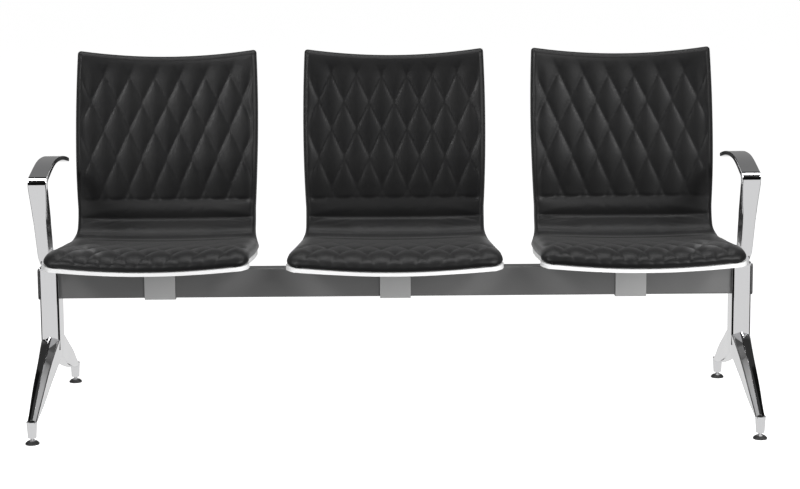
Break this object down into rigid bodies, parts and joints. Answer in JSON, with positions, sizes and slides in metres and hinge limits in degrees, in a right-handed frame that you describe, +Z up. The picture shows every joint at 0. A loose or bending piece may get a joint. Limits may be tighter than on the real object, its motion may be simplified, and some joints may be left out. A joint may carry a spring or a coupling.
{
  "type": "beam seating",
  "caption": "Beam bench with quilted one-piece seats on a rectangular tube, cast arched legs, open armrests and levelling feet.",
  "frame": {"origin": "on the floor under the middle of the beam, midway between the front and the rear feet", "axes": "+X along the beam to the right as seen from the front, +Y to the rear, +Z up"},
  "size_m": [1.701, 0.632, 0.8508],
  "materials": {
    "beam_paint": "dark grey powder coat, fine texture, satin",
    "cap_plastic": "dark moulded plastic, fine grain",
    "polished_casting": "polished cast aluminium with a mirror shine",
    "zinc_steel": "zinc-plated steel",
    "glide_plastic": "black moulded plastic",
    "shell_plastic": "light grey moulded plastic, satin",
    "quilted_leather": "black grained leather, quilted in diamonds, soft sheen",
    "bracket_paint": "light grey powder coat"
  },
  "bodies": {
    "bench": {"beam_tube": "beam_paint", "beam_end_cap_left": "cap_plastic", "leg_left": "polished_casting", "arm_left": "polished_casting", "beam_nut_plate_left": "zinc_steel", "leg_bolts_left": "zinc_steel", "arm_screws_left": "zinc_steel", "beam_end_cap_right": "cap_plastic", "leg_right": "polished_casting", "arm_right": "polished_casting", "beam_nut_plate_right": "zinc_steel", "leg_bolts_right": "zinc_steel", "arm_screws_right": "zinc_steel", "seat_shell_left": "shell_plastic", "seat_pad_left": "quilted_leather", "mount_plate_left": "bracket_paint", "clamp_strap_left": "bracket_paint", "clamp_bolts_left": "zinc_steel", "clamp_nuts_left": "zinc_steel", "shell_screws_left": "zinc_steel", "shell_inserts_left": "zinc_steel", "seat_shell_centre": "shell_plastic", "seat_pad_centre": "quilted_leather", "mount_plate_centre": "bracket_paint", "clamp_strap_centre": "bracket_paint", "clamp_bolts_centre": "zinc_steel", "clamp_nuts_centre": "zinc_steel", "shell_screws_centre": "zinc_steel", "shell_inserts_centre": "zinc_steel", "seat_shell_right": "shell_plastic", "seat_pad_right": "quilted_leather", "mount_plate_right": "bracket_paint", "clamp_strap_right": "bracket_paint", "clamp_bolts_right": "zinc_steel", "clamp_nuts_right": "zinc_steel", "shell_screws_right": "zinc_steel", "shell_inserts_right": "zinc_steel"},
    "glide_front_left": {"glide_disc_front_left": "glide_plastic", "glide_stud_front_left": "zinc_steel"},
    "glide_rear_left": {"glide_disc_rear_left": "glide_plastic", "glide_stud_rear_left": "zinc_steel"},
    "glide_front_right": {"glide_disc_front_right": "glide_plastic", "glide_stud_front_right": "zinc_steel"},
    "glide_rear_right": {"glide_disc_rear_right": "glide_plastic", "glide_stud_rear_right": "zinc_steel"}
  },
  "joints": [
    {"name": "glide_front_left_level", "type": "slide", "parent": "bench", "child": "glide_front_left", "axis": [0, 0, 1], "range_m": [-0.012, 0.004]},
    {"name": "glide_rear_left_level", "type": "slide", "parent": "bench", "child": "glide_rear_left", "axis": [0, 0, 1], "range_m": [-0.012, 0.004]},
    {"name": "glide_front_right_level", "type": "slide", "parent": "bench", "child": "glide_front_right", "axis": [0, 0, 1], "range_m": [-0.012, 0.004]},
    {"name": "glide_rear_right_level", "type": "slide", "parent": "bench", "child": "glide_rear_right", "axis": [0, 0, 1], "range_m": [-0.012, 0.004]}
  ]
}
